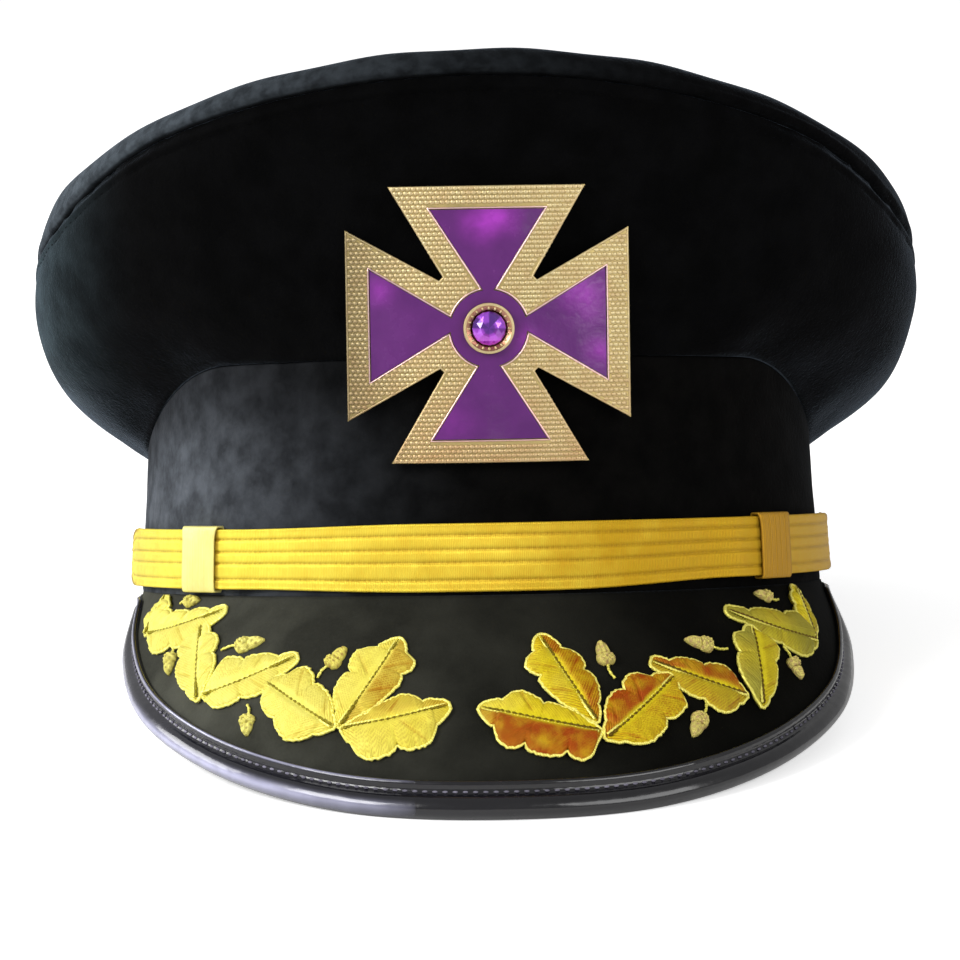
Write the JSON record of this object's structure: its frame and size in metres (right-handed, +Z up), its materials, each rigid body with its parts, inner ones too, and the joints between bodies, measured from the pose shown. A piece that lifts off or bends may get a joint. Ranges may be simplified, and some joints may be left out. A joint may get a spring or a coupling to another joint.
{
  "type": "fatigue cap",
  "caption": "Peaked fatigue cap: soft swelling crown, stiff band, leather-bound visor, gold lace chin strap, enamelled cross badge with a cut stone, embroidered oak leaves and acorns.",
  "frame": {"origin": "middle of the bounding box, on the surface that the cap stands on", "axes": "-Y the way the cap faces, +X the wearer's left, +Z up. The cap stands on its visor's front edge and the back of its band, so the band leans back by about 12 degrees."},
  "size_m": [0.238, 0.2934, 0.1743],
  "materials": {
    "cloth": "matte",
    "patent_leather": "gloss",
    "gold_lace": "satin",
    "gold_thread": "satin",
    "gilt_metal": "polished",
    "enamel": "gloss",
    "cut_stone": "gloss"
  },
  "bodies": {
    "root": {"acorn_left_1": "gold_thread", "acorn_left_2": "gold_thread", "acorn_left_3": "gold_thread", "acorn_left_4": "gold_thread", "acorn_left_5": "gold_thread", "acorn_right_1": "gold_thread", "acorn_right_2": "gold_thread", "acorn_right_3": "gold_thread", "acorn_right_4": "gold_thread", "acorn_right_5": "gold_thread", "band": "cloth", "cross_enamel": "enamel", "cross_plate": "gilt_metal", "crown_side": "cloth", "crown_top": "cloth", "keeper_left": "gold_lace", "keeper_right": "gold_lace", "leaf_left_1": "gold_thread", "leaf_left_2": "gold_thread", "leaf_left_3": "gold_thread", "leaf_left_4": "gold_thread", "leaf_left_5": "gold_thread", "leaf_left_6": "gold_thread", "leaf_left_7": "gold_thread", "leaf_right_1": "gold_thread", "leaf_right_2": "gold_thread", "leaf_right_3": "gold_thread", "leaf_right_4": "gold_thread", "leaf_right_5": "gold_thread", "leaf_right_6": "gold_thread", "leaf_right_7": "gold_thread", "stone": "cut_stone", "stone_bezel": "gilt_metal", "strap": "gold_lace", "strap_underlay_left": "gold_lace", "strap_underlay_right": "gold_lace", "visor": "cloth", "visor_binding": "patent_leather"}
  },
  "joints": []
}
